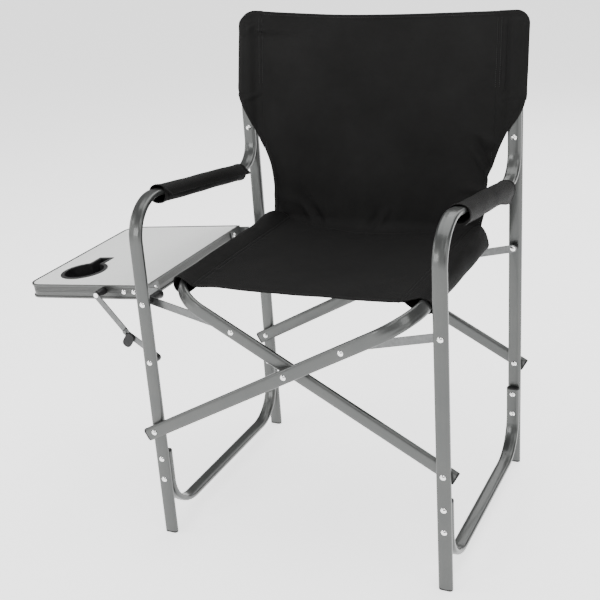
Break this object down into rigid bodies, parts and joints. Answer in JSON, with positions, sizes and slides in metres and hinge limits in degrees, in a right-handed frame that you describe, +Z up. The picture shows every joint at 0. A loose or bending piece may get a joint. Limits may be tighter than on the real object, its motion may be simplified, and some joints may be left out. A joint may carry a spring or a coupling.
{
  "type": "folding director chair with side table",
  "caption": "Folding director style camp chair with grey flat-oval tube frame, black fabric seat and back, padded arm covers and a drop-leaf side table with cup holder",
  "frame": {"origin": "On the floor under the middle of the open chair with its table, midway across and midway front to back.", "axes": "+Z is up and is the longest side. +Y runs from the sitter's knees to the back of the chair and is the shortest side. +X runs from the table across the seat to the free side."},
  "size_m": [0.8269, 0.4794, 0.8622],
  "materials": {
    "tube_grey": "satin silver-grey coat on steel tube",
    "rivet_steel": "bright domed rivets and pins",
    "plated_steel": "plated flat bar",
    "black_plastic": "black moulded plastic",
    "cup_plastic": "black moulded plastic with a bright lip",
    "edge_aluminium": "ribbed grey extrusion",
    "table_board": "pale grey fine speckled laminate",
    "cloth": "near-black coated plain weave"
  },
  "bodies": {
    "frame_table_side": {"front_leg_and_arm_table_side": "tube_grey", "rear_upright_table_side": "tube_grey", "lower_rail_table_side": "tube_grey", "foot_caps_table_side": "black_plastic", "rail_plugs_table_side": "black_plastic", "upper_plugs_table_side": "black_plastic", "frame_rivets_table_side": "rivet_steel", "lower_pivot_pins_table_side": "rivet_steel", "lower_pivot_washers_table_side": "black_plastic", "link_bolts_table_side": "rivet_steel", "hinge_bushes_table_side": "black_plastic", "brace_pin_leg": "rivet_steel", "brace_bush_leg": "black_plastic", "back_sleeve_table_side": "cloth", "arm_cover_table_side": "cloth", "back_panel": "cloth"},
    "cross_a": {"cross_tube_a": "tube_grey", "cross_plugs_a": "black_plastic", "link_stubs_a": "rivet_steel", "link_bush_a": "black_plastic", "centre_pivot_pins": "rivet_steel", "centre_pivot_bushes": "black_plastic", "seat_sleeve_free_side": "cloth", "seat_panel": "cloth"},
    "cross_b": {"cross_tube_b": "tube_grey", "cross_plugs_b": "black_plastic", "link_stubs_b": "rivet_steel", "link_bush_b": "black_plastic", "seat_sleeve_table_side": "cloth"},
    "frame_free_side": {"front_leg_and_arm_free_side": "tube_grey", "rear_upright_free_side": "tube_grey", "lower_rail_free_side": "tube_grey", "foot_caps_free_side": "black_plastic", "rail_plugs_free_side": "black_plastic", "upper_plugs_free_side": "black_plastic", "frame_rivets_free_side": "rivet_steel", "lower_pivot_pins_free_side": "rivet_steel", "lower_pivot_washers_free_side": "black_plastic", "link_bolts_free_side": "rivet_steel", "link_bush_free_side": "black_plastic", "back_sleeve_free_side": "cloth", "arm_cover_free_side": "cloth"},
    "link_1": {"link_front_table_side": "plated_steel"},
    "link_2": {"link_rear_table_side": "plated_steel"},
    "link_3": {"link_front_free_side": "plated_steel"},
    "link_4": {"link_rear_free_side": "plated_steel"},
    "table": {"table_frame": "edge_aluminium", "table_panel": "table_board", "cup_holder": "cup_plastic", "table_bracket_front": "plated_steel", "table_bracket_rear": "plated_steel", "table_rivets": "rivet_steel", "brace_pin_table": "rivet_steel", "brace_bush_table": "black_plastic"},
    "brace_upper": {"brace_upper_bar": "plated_steel"},
    "brace_lower": {"brace_lower_bar": "plated_steel", "brace_release_tab": "black_plastic"}
  },
  "joints": [
    {"name": "fold", "type": "hinge", "parent": "frame_table_side", "child": "cross_a", "pos_m": [-0.12744, 0, 0.212], "axis": [0, -1, 0], "range_deg": [0, 38], "deforming": ["seat_panel", "back_panel"]},
    {"name": "cross_b_turn", "type": "hinge", "parent": "cross_a", "child": "cross_b", "pos_m": [0.13256, 0, 0.354], "axis": [0, -1, 0], "range_deg": [-76, 0]},
    {"name": "free_frame_turn", "type": "hinge", "parent": "cross_b", "child": "frame_free_side", "pos_m": [0.39256, 0, 0.212], "axis": [0, -1, 0], "range_deg": [0, 38]},
    {"name": "link_front_table_turn", "type": "hinge", "parent": "frame_table_side", "child": "link_1", "pos_m": [-0.12744, -0.219, 0.44689], "axis": [0, -1, 0], "range_deg": [0, 77]},
    {"name": "link_rear_table_turn", "type": "hinge", "parent": "frame_table_side", "child": "link_2", "pos_m": [-0.12744, 0.219, 0.44689], "axis": [0, -1, 0], "range_deg": [0, 77]},
    {"name": "link_front_free_turn", "type": "hinge", "parent": "frame_free_side", "child": "link_3", "pos_m": [0.39256, -0.219, 0.44689], "axis": [0, -1, 0], "range_deg": [-77, 0]},
    {"name": "link_rear_free_turn", "type": "hinge", "parent": "frame_free_side", "child": "link_4", "pos_m": [0.39256, 0.219, 0.44689], "axis": [0, -1, 0], "range_deg": [-77, 0]},
    {"name": "table_drop", "type": "hinge", "parent": "frame_table_side", "child": "table", "pos_m": [-0.12744, 0, 0.44689], "axis": [0, -1, 0], "range_deg": [0, 85]},
    {"name": "brace_upper_turn", "type": "hinge", "parent": "table", "child": "brace_upper", "pos_m": [-0.24235, -0.194, 0.44085], "axis": [0, -1, 0], "range_deg": [0, 45.73]},
    {"name": "brace_lower_turn", "type": "hinge", "parent": "frame_table_side", "child": "brace_lower", "pos_m": [-0.12744, -0.197, 0.33989], "axis": [0, -1, 0], "range_deg": [-63.61, 0]}
  ],
  "couplings": [
    {"joint": "cross_b_turn", "follows": "fold", "ratio": -2},
    {"joint": "free_frame_turn", "follows": "fold", "ratio": 1},
    {"joint": "link_front_table_turn", "follows": "fold", "ratio": 2.0262},
    {"joint": "link_rear_table_turn", "follows": "fold", "ratio": 2.0262},
    {"joint": "link_front_free_turn", "follows": "fold", "ratio": -2.0262},
    {"joint": "link_rear_free_turn", "follows": "fold", "ratio": -2.0262},
    {"joint": "brace_upper_turn", "follows": "table_drop", "ratio": 0.538},
    {"joint": "brace_lower_turn", "follows": "table_drop", "ratio": -0.74832}
  ]
}
